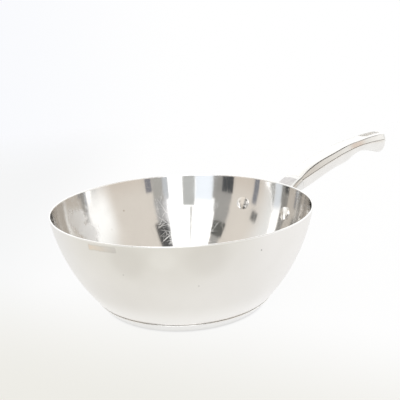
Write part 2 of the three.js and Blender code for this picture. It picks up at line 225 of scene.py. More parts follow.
def turned(name, profile, steps, finishes=None):
    """A profile of (radius, height) points turned about Z, with its run and turn as UV in metres."""
    work = bmesh.new()
    layer = work.loops.layers.uv.new("turned")
    widest = max(radius for radius, height in profile)
    rings = []
    runs = [0.0]
    for i, (radius, height) in enumerate(profile):
        if radius < WELD_DISTANCE:
            rings.append([work.verts.new((0, 0, height))] * steps)
        else:
            circle = []
            for j in range(steps):
                angle = 2 * math.pi * j / steps
                circle.append(work.verts.new((radius * math.cos(angle), radius * math.sin(angle), height)))
            rings.append(circle)
        if i:
            runs.append(runs[-1] + math.dist(profile[i - 1], profile[i]))
    for i in range(len(profile) - 1):
        for j in range(steps):
            corners = []
            for ring, column in ((i, j), (i, j + 1), (i + 1, j + 1), (i + 1, j)):
                vert = rings[ring][column % steps]
                place = (2 * math.pi * widest * column / steps, runs[ring])
                if vert not in [other for other, uv in corners]:
                    corners.append((vert, place))
            face = work.faces.new([vert for vert, uv in corners])
            face.material_index = finishes[i] if finishes else 0
            for loop, (vert, uv) in zip(face.loops, corners):
                loop[layer].uv = uv
    return piece_from(work, name)


def lofted(name, rings):
    """Closed rings of points joined into one skin, with a flat face on each end."""
    work = bmesh.new()
    rows = [[work.verts.new(p) for p in ring] for ring in rings]
    count = len(rings[0])
    for i in range(len(rows) - 1):
        for j in range(count):
            k = (j + 1) % count
            work.faces.new((rows[i][j], rows[i][k], rows[i + 1][k], rows[i + 1][j]))
    work.faces.new(rows[0])
    work.faces.new(list(reversed(rows[-1])))
    return piece_from(work, name)


# Bowl and base

wall_centre = (
    RIM_RADIUS - WALL_ARC_RADIUS * math.cos(RIM_FLARE),
    BODY_HEIGHT + WALL_ARC_RADIUS * math.sin(RIM_FLARE),
)
corner_z = FLOOR_Z + FLOOR_CORNER_RADIUS
corner_reach = WALL_ARC_RADIUS - FLOOR_CORNER_RADIUS
corner_centre = (
    wall_centre[0] + math.sqrt(corner_reach ** 2 - (corner_z - wall_centre[1]) ** 2),
    corner_z,
)
corner_angle = math.atan2(corner_centre[1] - wall_centre[1], corner_centre[0] - wall_centre[0])


def wall_radius_at(z):
    """Radius of the bowl's outer skin at a height."""
    tangent_z = wall_centre[1] + WALL_ARC_RADIUS * math.sin(corner_angle)
    centre, radius = wall_centre, WALL_ARC_RADIUS
    if z < tangent_z:
        centre, radius = corner_centre, FLOOR_CORNER_RADIUS
    return centre[0] + math.sqrt(radius ** 2 - (z - centre[1]) ** 2)


def skin_profile(offset, top_z):
    """The bowl's skin from the axis along the floor and up; a positive offset lies outside it."""
    radius = WALL_ARC_RADIUS + offset
    top_angle = math.asin((top_z - wall_centre[1]) / radius)
    corner = arc(corner_centre, FLOOR_CORNER_RADIUS + offset, -QUARTER, corner_angle, CORNER_STEPS)
    wall = arc(wall_centre, radius, corner_angle, top_angle, WALL_STEPS)
    return [(0.0, FLOOR_Z - offset)] + corner + wall[1:]


def skin_solid(offset):
    """Everything inside a skin, up to the rim."""
    profile = skin_profile(offset, BODY_HEIGHT) + [(0.0, BODY_HEIGHT)]
    return turned("skin_tool", profile, TOOL_TURN_STEPS)


def make_bowl():
    shoulder = BODY_HEIGHT - RIM_EDGE_RADIUS
    outside = skin_profile(0.0, shoulder)
    inside = skin_profile(-BODY_SHEET, shoulder)
    outer_round = (outside[-1][0] - RIM_EDGE_RADIUS, shoulder)
    inner_round = (inside[-1][0] + RIM_EDGE_RADIUS, shoulder)
    rim = arc(outer_round, RIM_EDGE_RADIUS, 0, QUARTER, ROUND_STEPS)[1:]
    rim += arc(inner_round, RIM_EDGE_RADIUS, QUARTER, math.pi, ROUND_STEPS)[:-1]
    profile = outside + rim + inside[::-1]
    finishes = [0] * (len(outside) - 1) + [1] * (len(profile) - len(outside))
    bowl = turned("bowl_pressing", profile, TURN_STEPS, finishes)
    for side in (1, -1):
        combine(bowl, rivet_bar(side), "DIFFERENCE")
    return bowl


side_sheet = CAPSULE_SHEET / math.cos(CAPSULE_SIDE_LEAN)
lip_radius = wall_radius_at(CAPSULE_TOP) + CAPSULE_LIP_GAP


def capsule_face(foot_z, outward, corner_radius, top_z):
    """One face of the capsule from the axis along the foot and up its leaning side."""
    def side_at(z):
        return lip_radius + outward - (CAPSULE_TOP - z) * math.tan(CAPSULE_SIDE_LEAN)

    centre_z = foot_z + corner_radius
    centre_r = side_at(centre_z) - corner_radius / math.cos(CAPSULE_SIDE_LEAN)
    foot = arc((centre_r, centre_z), corner_radius, -QUARTER, -CAPSULE_SIDE_LEAN, CORNER_STEPS)
    return [(0.0, foot_z)] + foot + [(side_at(top_z), top_z)]


def make_capsule():
    lip_z = CAPSULE_TOP - CAPSULE_LIP_ROUND
    outer = capsule_face(0.0, side_sheet, CAPSULE_CORNER_RADIUS, lip_z)
    inner = capsule_face(CAPSULE_SHEET, 0.0, CAPSULE_CORNER_RADIUS - CAPSULE_SHEET, lip_z)
    middle = (outer[-1][0] + inner[-1][0]) / 2
    crest = (outer[-1][0] - inner[-1][0]) / 2
    lip = []
    for i in range(1, 2 * ROUND_STEPS):
        angle = math.pi * i / (2 * ROUND_STEPS)
        lip.append((middle + crest * math.cos(angle), lip_z + CAPSULE_LIP_ROUND * math.sin(angle)))
    return turned("capsule_cup", outer + lip + inner[::-1], TURN_STEPS)


# Rivets

rivet_z = BODY_HEIGHT - RIVET_DROP
rivet_radius = wall_radius_at(rivet_z)
rivet_turn = math.asin(RIVET_SPACING / 2 / rivet_radius)
rivet_tilt = math.asin((wall_centre[1] - rivet_z) / WALL_ARC_RADIUS)


def rivet_frame(side):
    """Local Z points out of the wall, from the bowl's outer skin."""
    turn = side * rivet_turn
    outward = Vector((math.cos(turn), math.sin(turn), -math.tan(rivet_tilt))).normalized()
    seat = Vector((math.cos(turn) * rivet_radius, math.sin(turn) * rivet_radius, rivet_z))
    return Matrix.Translation(seat) @ outward.to_track_quat("Z", "Y").to_matrix().to_4x4()


def rivet_bar(side):
    """A bar the size of a rivet hole, through the wall and the bracket."""
    radius = RIVET_SHANK_RADIUS + CLEARANCE
    reach = BODY_SHEET + PAD_FACE + PAD_LOBE_RADIUS
    profile = [(0, -reach), (radius, -reach), (radius, reach), (0, reach)]
    bar = turned("hole_tool", profile, SMALL_TURN_STEPS)
    bar.data.transform(rivet_frame(side))
    return bar


def button(radius, seat, height, dome):
    """A domed button from its seat up to the middle of its dome."""
    ball = (radius ** 2 + dome ** 2) / (2 * dome)
    edge = math.asin((ball - dome) / ball)
    top = seat + height
    rise = top - dome
    side = [(radius, seat), (radius, rise - RIVET_EDGE_ROUND)]
    start = (radius - RIVET_EDGE_ROUND / 2, rise + RIVET_EDGE_ROUND / 4)
    cap = arc((0.0, top - ball), ball, edge, QUARTER, DOME_STEPS)[1:]
    cap[-1] = (0.0, top)
    return side + [start] + cap


def make_rivet(name, side):
    """A domed head inside the bowl, a shank through wall and pad and a smaller formed tail outside."""
    tail = button(RIVET_TAIL_RADIUS, PAD_FACE, RIVET_TAIL_HEIGHT + CLEARANCE, RIVET_TAIL_DOME)
    head = button(RIVET_HEAD_RADIUS, BODY_SHEET, RIVET_HEAD_HEIGHT + CLEARANCE, RIVET_HEAD_DOME)
    head = [(radius, -height) for radius, height in head]
    shank = [(RIVET_SHANK_RADIUS, -BODY_SHEET), (RIVET_SHANK_RADIUS, PAD_FACE)]
    rivet = turned(name, head[::-1] + shank + tail, SMALL_TURN_STEPS)
    rivet.data.transform(rivet_frame(side))
    return rivet


# Handle

handle_root = Vector((RIM_RADIUS + NECK_REACH, 0, BODY_HEIGHT - NECK_DROP))


def bezier(points, t):
    """A point of a cubic curve and its unit direction, in the plane of side view."""
    a, b, c, d = (Vector(p) for p in points)
    place = a * (1 - t) ** 3 + b * 3 * t * (1 - t) ** 2 + c * 3 * t * t * (1 - t) + d * t ** 3
    slope = (b - a) * (1 - t) ** 2 + (c - b) * 2 * t * (1 - t) + (d - c) * t * t
    return place, slope.normalized()


SPINE = (
    (0.0, 0.0),
    *((HANDLE_LENGTH * along, HANDLE_RISE * rise) for along, rise in SEAM_CONTROLS),
    (HANDLE_LENGTH, HANDLE_RISE),
)


def spine_at(x):
    """The seam's place and direction at a distance along the handle."""
    t = x / HANDLE_LENGTH
    for _ in range(SOLVE_STEPS):
        t += (x - bezier(SPINE, t)[0].x) / HANDLE_LENGTH
    place, along = bezier(SPINE, t)
    if t < 0:
        along = bezier(SPINE, 0.0)[1]
    return place, along


handle_rows = [
    (at, GRIP_WIDTH / 2 * width, GRIP_TOP_HEIGHT * top, GRIP_BELLY_DEPTH * belly)
    for at, width, top, belly in HANDLE_SECTIONS
]


def between(rows, at):
    """Smooth values (half width, height, depth) between listed rows."""
    i = 0
    while i + 2 < len(rows) and at > rows[i + 1][0]:
        i += 1

    def slope(k, column):
        before = rows[max(k - 1, 0)]
        after = rows[min(k + 1, len(rows) - 1)]
        return (after[column] - before[column]) / (after[0] - before[0])

    span = rows[i + 1][0] - rows[i][0]
    t = (at - rows[i][0]) / span
    values = []
    for column in (1, 2, 3):
        ends = rows[i][column] * (1 + 2 * t) * (1 - t) ** 2 + rows[i + 1][column] * t ** 2 * (3 - 2 * t)
        bend = slope(i, column) * (1 - t) - slope(i + 1, column) * t
        values.append(ends + span * t * (1 - t) * bend)
    return values


def top_half(half, up, crown, stop):
    """Right half of a section's top: crown, rounded edge and leaning side down to a height."""
    top = half - up * math.tan(SIDE_LEAN)
    edge = min(TOP_EDGE_RADIUS, up / 2, top / 2)
    fall = math.atan2(2 * crown, max(top - edge, WELD_DISTANCE))
    crown_end = top - edge + edge * math.sin(fall)
    points = []
    for i in range(CROWN_STEPS):
        share = i / CROWN_STEPS
        points.append((share * crown_end, up + crown * (1 - share ** 2)))
    centre = (top - edge, up - edge * math.cos(fall))
    points += arc(centre, edge, QUARTER - fall, SIDE_LEAN, EDGE_STEPS)
    start = points[-1]
    for i in range(1, SIDE_STEPS + 1):
        height = start[1] + (stop - start[1]) * i / SIDE_STEPS
        across = half + (start[0] - half) * height / max(start[1], WELD_DISTANCE)
        points.append((across, height))
    return points


def belly_half(half, down, stop):
    """Right half of a section's belly, from its middle up to a depth below the seam."""
    power = 2 / BELLY_FULLNESS
    last = math.asin((stop / max(down, WELD_DISTANCE)) ** (1 / power))
    points = []
    for i in range(BELLY_STEPS + 1):
        angle = QUARTER + (last - QUARTER) * i / BELLY_STEPS
        across = max(0.0, math.cos(angle)) ** power if i else 0.0
        deep = max(0.0, math.sin(angle)) ** power
        points.append((half * across, -down * deep))
    return points


def end_rounding(distance, length):
    """How far a rounded end has closed at a distance from its tip."""
    depth = min(1.0, max(0.0, 1 - distance / length))
    return math.sqrt(1 - depth ** 2)


def handle_sizes(x, inset):
    """Half width, height, depth and crown of the handle at a distance, drawn in by an inset."""
    half, up, down = (value - inset for value in between(handle_rows, x / HANDLE_LENGTH))
    distance = HANDLE_LENGTH - inset - x
    in_plan = end_rounding(distance, END_ROUND_IN_PLAN - inset)
    in_side_view = end_rounding(distance, END_ROUND_IN_SIDE_VIEW - inset)
    return half * in_plan, up * in_side_view, down * in_side_view, HANDLE_CROWN * in_side_view


def place_section(points, place, along, origin):
    """Section points (across, height) set square to a curve in the XZ plane."""
    placed = []
    for across, height in points:
        x = place.x - along.y * height
        z = place.y + along.x * height
        placed.append(origin + Vector((x, across, z)))
    return placed


def mirrored(right):
    """A right half that starts on the middle, as a whole line from right to left."""
    left = [(-across, height) for across, height in right[1:]]
    return right[::-1] + left


def stations(last):
    """Distances along the handle, closer together round its end."""
    end_start = last - END_ROUND_IN_PLAN
    distances = [end_start * i / HANDLE_STEPS for i in range(HANDLE_STEPS)]
    for i in range(HANDLE_END_STEPS + 1):
        distances.append(end_start + END_ROUND_IN_PLAN * math.sin(QUARTER * i / HANDLE_END_STEPS))
    return distances


def shell_line(x, inset, upper, edge):
    """One line of a pressed half's skin from seam to seam, with its seam edges rounded."""
    half, up, down, crown = handle_sizes(x, inset)
    room = min(half, up, down) / 4
    gap = min(SEAM_GAP / 2, room)
    radius = min(edge, room)
    stop = gap + radius
    right = top_half(half, up, crown, stop) if upper else belly_half(half, down, stop)
    if edge > 0:
        sign = 1 if upper else -1
        wall = right[-1][0]
        for i in range(1, ROUND_STEPS + 1):
            angle = QUARTER * i / ROUND_STEPS
            across = wall - radius + radius * math.cos(angle)
            right.append((across, sign * (stop - radius * math.sin(angle))))
    place, along = spine_at(x)
    return place_section(mirrored(right), place, along, handle_root)


def make_shell(name, upper):
    """A pressed half of the hollow handle: outer skin, inner skin, seam faces and root face."""
    work = bmesh.new()
    outer_x = stations(HANDLE_LENGTH)
    inner_x = stations(HANDLE_LENGTH - HANDLE_SHEET)
    outer = [shell_line(x, 0.0, upper, SEAM_EDGE_RADIUS) for x in outer_x]
    inner = [shell_line(x, HANDLE_SHEET, upper, 0.0) for x in inner_x]
    outer = [[work.verts.new(p) for p in line] for line in outer]
    inner = [[work.verts.new(p) for p in line] for line in inner]
    for i in range(len(outer) - 1):
        for lines in (outer, inner):
            for j in range(len(lines[i]) - 1):
                work.faces.new((lines[i][j], lines[i][j + 1], lines[i + 1][j + 1], lines[i + 1][j]))
        for j in (0, -1):
            work.faces.new((outer[i][j], outer[i + 1][j], inner[i + 1][j], inner[i][j]))
    for j in range(len(inner[0]) - 1):
        k = j + ROUND_STEPS
        work.faces.new((outer[0][k], outer[0][k + 1], inner[0][j + 1], inner[0][j]))
    work.faces.new(outer[0][:ROUND_STEPS + 1] + [inner[0][0]])
    work.faces.new(outer[0][-ROUND_STEPS - 1:] + [inner[0][-1]])
    shell = piece_from(work, name)
    return combine(shell, slot_bar(SLOT_LINER_SHEET + CLEARANCE), "DIFFERENCE")


def slot_bar(widening):
    """A round-ended bar through the handle's end, as wide as the slot and a widening on each side."""
    radius = SLOT_WIDTH / 2 + widening
    far = HANDLE_LENGTH - SLOT_END_MARGIN - SLOT_WIDTH / 2
    near = far - SLOT_LENGTH + SLOT_WIDTH
    outline = arc((far, 0), radius, -QUARTER, QUARTER, SLOT_STEPS)
    outline += arc((near, 0), radius, QUARTER, 3 * QUARTER, SLOT_STEPS)
    rings = []
    for height in (-HANDLE_LENGTH / 2, HANDLE_LENGTH / 2):
        rings.append([handle_root + Vector((x, y, height)) for x, y in outline])
    return lofted("slot_tool", rings)


def handle_ring(x, inset):
    """A whole closed section of the handle's skin."""
    half, up, down, crown = handle_sizes(x, inset)
    top = mirrored(top_half(half, up, crown, 0.0))
    belly = mirrored(belly_half(half, down, 0.0))
    place, along = spine_at(x)
    return place_section(top + belly[::-1][1:-1], place, along, handle_root)


def make_slot_liner():
    """A tube round the slot that ends flush with the handle's top and belly."""
    liner = combine(slot_bar(SLOT_LINER_SHEET), slot_bar(0.0), "DIFFERENCE")
    liner.name = "slot_ferrule"
    rings = [handle_ring(x, 0.0) for x in stations(HANDLE_LENGTH - CLEARANCE)]
    return combine(liner, lofted("handle_tool", rings), "INTERSECT")


# Bracket

def make_pad():
    """Two lobes round the rivets and a deeper middle, wrapped on the wall."""
    reach = RIVET_SPACING / 2
    outline = []
    for side in (1, -1):
        lobe = (side * reach, rivet_z)
        outline += arc(lobe, PAD_LOBE_RADIUS, -side * QUARTER, side * QUARTER, SLOT_STEPS)
        outline += pad_edge(side, reach)
    rings = [[Vector((x, y, z)) for y, z in outline] for x in (0.0, RIM_RADIUS * 2)]
    return combine(lofted("bracket_casting", rings), skin_solid(PAD_FACE), "INTERSECT")


def pad_edge(side, reach):
    """The upper or lower edge of the pad between its lobes."""
    lobe_z = rivet_z + side * PAD_LOBE_RADIUS
    middle_z = rivet_z + side * PAD_MIDDLE_HEIGHT / 2
    blend = reach * PAD_BLEND_SHARE
    near = ((side * reach, lobe_z), (side * blend, lobe_z), (side * blend, middle_z), (0.0, middle_z))
    far = tuple((-y, z) for y, z in reversed(near))
    points = []
    for half in (near, far):
        points += [tuple(bezier(half, (i + 1) / SLOT_STEPS)[0]) for i in range(SLOT_STEPS)]
    return points[:-1]


neck_start = Vector((rivet_radius - PAD_LOBE_RADIUS, rivet_z))
neck_along = spine_at(0.0)[1]
neck_end = Vector((handle_root.x, handle_root.z)) - neck_along * NECK_GAP
neck_lift = (neck_end - neck_start).length / 3
neck_path = (neck_start, neck_start + Vector((neck_lift, 0)), neck_end - neck_along * neck_lift, neck_end)


def make_neck():
    """The neck climbs from the pad to the shells' root, from a wide oval to the handle's section."""
    root_half = (RIVET_SPACING - 2 * RIVET_TAIL_RADIUS) / 2 - NECK_TO_RIVET_TAIL
    shell_half, shell_up, shell_down = handle_rows[0][1:]
    rows = [
        (0.0, root_half, NECK_ROOT_HEIGHT / 2, NECK_ROOT_HEIGHT / 2),
        (NECK_WAIST_SHARE, NECK_WAIST_WIDTH / 2, shell_up, shell_down),
        (1.0, shell_half, shell_up, shell_down),
    ]
    rings = []
    for i in range(NECK_STEPS + 1):
        place, direction = bezier(neck_path, i / NECK_STEPS)
        half, up, down = between(rows, i / NECK_STEPS)
        top = mirrored(top_half(half, up, HANDLE_CROWN, 0.0))
        belly = mirrored(belly_half(half, down, 0.0))
        rings.append(place_section(top + belly[::-1][1:-1], place, direction, Vector()))
    overrun = Vector((neck_along.x, 0, neck_along.y)) * CASTING_OVERRUN
    rings.append([point + overrun for point in rings[-1]])
    return lofted("neck_tool", rings)


def beyond_neck():
    """A block that holds everything past the neck's end face."""
    reach = RIVET_SPACING
    corners = [(reach, -reach), (reach, reach), (-reach, reach), (-reach, -reach)]
    far = neck_end + neck_along * reach
    rings = [place_section(corners, place, neck_along, Vector()) for place in (neck_end, far)]
    return lofted("end_tool", rings)


def make_spigot():
    """A tongue from inside the neck into the hollow handle."""
    steps = (-SPIGOT_LENGTH / 2, 0.0, SPIGOT_LENGTH / 2, SPIGOT_LENGTH)
    return lofted("spigot_tool", [handle_ring(x, HANDLE_SHEET + CLEARANCE) for x in steps])


def make_bracket():
    """Pad, neck and spigot melted into one casting with soft fillets."""
    casting = combine(make_pad(), make_neck(), "UNION")
    combine(casting, skin_solid(CLEARANCE), "DIFFERENCE")
    remesh = casting.modifiers.new("melt", "REMESH")
    remesh.mode = "VOXEL"
    remesh.voxel_size = CASTING_VOXEL
    smooth = casting.modifiers.new("soften", "SMOOTH")
    smooth.iterations = CASTING_SMOOTHING
    settle(casting)
    combine(casting, beyond_neck(), "DIFFERENCE")
    combine(casting, make_spigot(), "UNION")
    for side in (1, -1):
        combine(casting, rivet_bar(side), "DIFFERENCE")
    return casting


# Node tools

ALONG_HANDLE = (1.0, 0.0, 0.0)
ACROSS_HANDLE = (0.0, 1.0, 0.0)
UP = (0.0, 0.0, 1.0)


class Tree:
    """A node tree with short names for the nodes that the finishes use."""

    def __init__(self, owner):
        owner.use_nodes = True
        self.nodes = owner.node_tree.nodes
        self.links = owner.node_tree.links
        self.nodes.clear()

    def node(self, kind, inputs=None, **settings):
        made = self.nodes.new(kind)
        for name, value in settings.items():
            setattr(made, name, value)
        for key, value in (inputs or {}).items():
            self.plug(made.inputs[key], value)
        return made

    def plug(self, socket, value):
        if isinstance(value, bpy.types.NodeSocket):
            self.links.new(value, socket)
        else:
            socket.default_value = value

    def place(self):
        """Places on the object, in metres."""
        return self.node("ShaderNodeTexCoord").outputs["Object"]

    def turned_place(self):
        """Places on a turned piece: metres round its widest ring and along its profile."""
        return self.node("ShaderNodeUVMap", uv_map="turned").outputs[0]

    def math(self, operation, *values):
        return self.node("ShaderNodeMath", dict(enumerate(values)), operation=operation).outputs[0]

    def along(self, vector, axis):
        """How far a place lies along an axis."""
        inputs = {0: vector, 1: axis}
        return self.node("ShaderNodeVectorMath", inputs, operation="DOT_PRODUCT").outputs["Value"]

    def distance(self, vector, point):
        inputs = {0: vector, 1: point}
        return self.node("ShaderNodeVectorMath", inputs, operation="DISTANCE").outputs["Value"]

    def step(self, value, low, high, start=0.0, end=1.0):
        """A smooth step from start to end while the value goes from low to high."""
        inputs = {"Value": value, "From Min": low, "From Max": high, "To Min": start, "To Max": end}
        return self.node("ShaderNodeMapRange", inputs, interpolation_type="SMOOTHSTEP").outputs[0]

    def above(self, value, level, soft):
        """Zero below a level and one above it, with a soft edge."""
        return self.step(value, level - soft, level + soft)

    def window(self, value, low, high, soft):
        """One between two values, and zero outside them."""
        return self.math("SUBTRACT", self.above(value, low, soft), self.above(value, high, soft))

    def stretched(self, vector, length, width, turn, shift):
        """Places counted in lengths along a turned direction and in widths across it."""
        inputs = {"Vector": vector, "Location": shift, "Rotation": (0.0, 0.0, turn)}
        inputs["Scale"] = (length, width, 1.0)
        return self.node("ShaderNodeMapping", inputs, vector_type="TEXTURE").outputs[0]

    def noise(self, vector, scale, detail=2.0):
        inputs = {"Vector": vector, "Scale": scale, "Detail": detail}
        return self.node("ShaderNodeTexNoise", inputs).outputs["Fac"]

    def grain(self, vector, scale, detail):
        """Noise with a scale of its own along each axis."""
        spread = self.node("ShaderNodeMapping", {"Vector": vector, "Scale": scale}).outputs[0]
        return self.noise(spread, 1.0, detail)

    def blend(self, factor, first, second):
        """A colour between two colours."""
        made = self.node("ShaderNodeMix", data_type="RGBA")
        sockets = {socket.identifier: socket for socket in made.inputs}
        self.plug(sockets["Factor_Float"], factor)
        self.plug(sockets["A_Color"], first)
        self.plug(sockets["B_Color"], second)
        return {socket.identifier: socket for socket in made.outputs}["Result_Color"]

    def bump(self, height, distance, lower=None):
        """A relief of a height in metres, on top of a lower one where there is one."""
        inputs = {"Height": height, "Distance": distance, "Strength": 1.0}
        if lower is not None:
            inputs["Normal"] = lower
        return self.node("ShaderNodeBump", inputs).outputs[0]


def finish(name):
    """A new metal with an empty tree and its shader."""
    material = bpy.data.materials.new(name)
    tree = Tree(material)
    shader = tree.node("ShaderNodeBsdfPrincipled", {"Metallic": 1.0})
    output = tree.node("ShaderNodeOutputMaterial")
    tree.links.new(shader.outputs[0], output.inputs["Surface"])
    return material, tree, shader


def dress_shader(tree, shader, colour, roughness, normal):
    tree.plug(shader.inputs["Base Color"], colour)
    tree.plug(shader.inputs["Roughness"], roughness)
    tree.plug(shader.inputs["Normal"], normal)


# Scratches inside the bowl: directions in degrees, size, levels of the noise that leave a mark,
# size and levels of the faint patches and their strength, and how far each direction's pattern is moved
SCRATCH_TURNS = (6, 29, 50, 73, 98, 121, 142, 167)
SCRATCH_LENGTH = 0.036
SCRATCH_WIDTH = 0.0010
SCRATCH_LEVEL = (0.72, 0.76)
SCRATCH_PATCH = 0.025
SCRATCH_PATCH_LEVEL = (0.35, 0.6)
SCRATCH_FAINT = 0.35
SCRATCH_SHIFT = 0.37


def scratches(tree, place, worn):
    """Short fine marks in several directions, faint in patches and plain where the wall is worn."""
    total = None
    for i, turn in enumerate(SCRATCH_TURNS):
        shift = (i * SCRATCH_SHIFT, -i * SCRATCH_SHIFT, 0.0)
        spread = tree.stretched(place, SCRATCH_LENGTH, SCRATCH_WIDTH, math.radians(turn), shift)
        mark = tree.step(tree.noise(spread, 1.0, 0.0), *SCRATCH_LEVEL)
        total = mark if total is None else tree.math("MAXIMUM", total, mark)
    patches = tree.step(tree.noise(place, 1 / SCRATCH_PATCH), *SCRATCH_PATCH_LEVEL, 0.0, SCRATCH_FAINT)
    return tree.math("MULTIPLY", total, tree.math("MAXIMUM", patches, worn))


def wall_point(turn, z):
    """A point on the bowl's outer skin, by its turn from +X in degrees and its height."""
    radius = wall_radius_at(z)
    return Vector((radius * math.cos(math.radians(turn)), radius * math.sin(math.radians(turn)), z))


def spots(tree, place, marks, wobble):
    """Small round marks with ragged edges: turn from +X in degrees, height, radius and strength."""
    total = None
    for turn, z, radius, strength in marks:
        reach = tree.math("MULTIPLY_ADD", wobble, radius, tree.distance(place, wall_point(turn, z)))
        mark = tree.step(reach, radius, 2 * radius, strength, 0.0)
        total = mark if total is None else tree.math("MAXIMUM", total, mark)
    return total


# Finishes: colours are linear
SATIN = (0.885, 0.865, 0.84, 1.0)
SATIN_SHADE = (0.85, 0.83, 0.80, 1.0)
# Painted shade and painted sheen for the outside wall, standing in for darker and brighter reflections
SATIN_PAINTED_SHADE = (0.68, 0.65, 0.615, 1.0)
SATIN_PAINTED_SHEEN = (0.96, 0.945, 0.925, 1.0)
# Painted highlight along the rim's band
RIM_PAINTED_HIGHLIGHT = (0.97, 0.965, 0.955, 1.0)
HEAT_TINT = (0.84, 0.70, 0.56, 1.0)
HEAT_TINT_GREY = (0.64, 0.61, 0.59, 1.0)
TIDE_MARK = (0.55, 0.52, 0.49, 1.0)
SPECK = (0.09, 0.085, 0.08, 1.0)
CAPSULE = (0.90, 0.893, 0.883, 1.0)
CAPSULE_SHADE = (0.87, 0.863, 0.853, 1.0)
MIRROR = (0.77, 0.76, 0.745, 1.0)
MIRROR_SHADE = (0.73, 0.72, 0.705, 1.0)
HAZE = (0.92, 0.93, 0.945, 1.0)
RUST = (0.36, 0.29, 0.22, 1.0)
POLISHED = (0.87, 0.855, 0.83, 1.0)
POLISHED_SHADE = (0.82, 0.805, 0.78, 1.0)
# Painted shade on the sides of the grip and the neck: plain, warmer, and lighter towards the end
FLANK_PAINTED_SHADE = (0.63, 0.615, 0.59, 1.0)
FLANK_WARM_PAINTED_SHADE = (0.55, 0.475, 0.42, 1.0)
FLANK_TIP_PAINTED_SHADE = (0.68, 0.665, 0.645, 1.0)
CAST = (0.82, 0.81, 0.79, 1.0)
CAST_DULL = (0.58, 0.565, 0.56, 1.0)
# Painted shade for the parting line's groove
GROOVE_PAINTED_SHADE = (0.2, 0.19, 0.18, 1.0)
LINER = (0.90, 0.89, 0.87, 1.0)
LINER_SHADE = (0.82, 0.81, 0.79, 1.0)
ALUMINIUM = (0.72, 0.73, 0.74, 1.0)
ALUMINIUM_SHADE = (0.62, 0.63, 0.64, 1.0)

# Band below the top edge, painted brighter as a highlight along the rim; inside, the rim's buffing also
# leaves it rougher
RIM_BAND = 0.0011
RIM_BAND_SOFTNESS = 0.0002

# Heat tint on the outside below the rim: its two ends, half height and soft edge, then the noise of
# its outline and of its patches as scale and detail, and how strong the patches are
TINT_START = wall_point(-166.0, 0.0859)
TINT_END = wall_point(-153.5, 0.0866)
TINT_HALF_HEIGHT = 0.0022
TINT_SOFTNESS = 0.0008
TINT_EDGE = (260.0, 3.0)
TINT_PATCHES = (130.0, 3.0)
TINT_PATCH_LEVELS = (0.3, 0.65)
TINT_STRENGTH = (0.45, 0.75)
NOISE_MIDDLE = 0.5

# Patches of painted shade and painted sheen outside, specks outside, then haze, worn places and marks
# inside: turn from +X in degrees, height, radius and strength. The low wall is brighter between two
# heights, a painted reflection, and haze has its own share
OUTSIDE_PAINTED_SHADE = (
    (-150.0, 0.078, 0.014, 0.31),
    (-119.0, 0.080, 0.016, 0.33),
    (-163.0, 0.034, 0.022, 0.14),
)
OUTSIDE_PAINTED_SHEEN = (
    (-135.5, 0.080, 0.009, 0.42),
)
LOW_WALL = (0.012, 0.034)
LOW_WALL_SHARE = 0.8
OUTSIDE_SPECKS = (
    (-97.2, 0.0788, 0.0005, 0.9),
    (-152.4, 0.0649, 0.0005, 0.4),
    (-122.5, 0.0553, 0.0005, 0.4),
)
HAZE_SHARE = 1.3
INSIDE_HAZE = (
    (118.0, 0.070, 0.014, 0.26),
    (116.0, 0.050, 0.013, 0.32),
)
INSIDE_WORN = (
    (63.5, 0.057, 0.011, 0.8),
    (63.0, 0.034, 0.012, 1.0),
    (48.5, 0.074, 0.012, 0.3),
    (31.5, 0.064, 0.012, 0.35),
    (29.0, 0.038, 0.010, 0.6),
)
INSIDE_MARKS = (
    (97.6, 0.0455, 0.0012, 0.5),
    (87.5, 0.0394, 0.0010, 0.6),
    (86.4, 0.0606, 0.0014, 0.6),
)


def rim_band(tree, place):
    """One on the buffed band at the rim, and zero below it."""
    return tree.above(tree.along(place, UP), BODY_HEIGHT - RIM_BAND, RIM_BAND_SOFTNESS)


def heat_tint(tree, place, colour):
    """A colour with a long soft stain on one side of the wall, tan to grey, with a darker edge."""
    run = TINT_END - TINT_START
    middle = (TINT_START + TINT_END) / 2
    along = run.normalized()
    upright = (Vector((0, 0, 1)) - along * along.z).normalized()
    outward = along.cross(upright)
    ragged = tree.math("SUBTRACT", tree.noise(place, *TINT_EDGE), NOISE_MIDDLE)
    wobble = tree.math("MULTIPLY", ragged, 2 * TINT_SOFTNESS)
    reach = tree.math("ADD", tree.along(place, along), wobble)
    rise = tree.math("ADD", tree.along(place, upright), wobble)
    start = middle.dot(along) - run.length / 2
    level = middle.dot(upright)
    near = middle.dot(outward) / 2
    mask = tree.window(reach, start, start + run.length, TINT_SOFTNESS)
    high = tree.window(rise, level - TINT_HALF_HEIGHT, level + TINT_HALF_HEIGHT, TINT_SOFTNESS)
    mask = tree.math("MULTIPLY", mask, high)
    this_side = tree.above(tree.along(place, outward), near, TINT_SOFTNESS)
    mask = tree.math("MULTIPLY", mask, this_side)
    patchy = tree.step(tree.noise(place, *TINT_PATCHES), *TINT_PATCH_LEVELS, *TINT_STRENGTH)
    tint = tree.blend(tree.step(reach, start, start + run.length), HEAT_TINT, HEAT_TINT_GREY)
    stained = tree.blend(tree.math("MULTIPLY", mask, patchy), colour, tint)
    edge = tree.math("MULTIPLY", mask, tree.math("SUBTRACT", 1.0, mask))
    return tree.blend(edge, stained, TIDE_MARK)


# Noises of the finishes are a scale, or one scale for each axis, and a detail. Levels say where a noise
# starts and ends, roughness is plain and then what its noise adds, and relief is in metres
CLOUD_LEVELS = (0.3, 0.7)
SPUN_LINES = ((9.0, 2600.0, 1.0), 3.0)
SPUN_BANDS = ((3.0, 420.0, 1.0), 2.0)
SPUN_BAND_SHARE = 0.8
SPUN_CLOUDS = (14.0, 3.0)
SPUN_CLOUD_LEVELS = (0.35, 0.7)
SPECK_EDGE = (900.0, 2.0)
SPUN_ROUGHNESS = 0.25
SPUN_LINE_ROUGHNESS = 0.10
SPUN_RELIEF = 0.000012


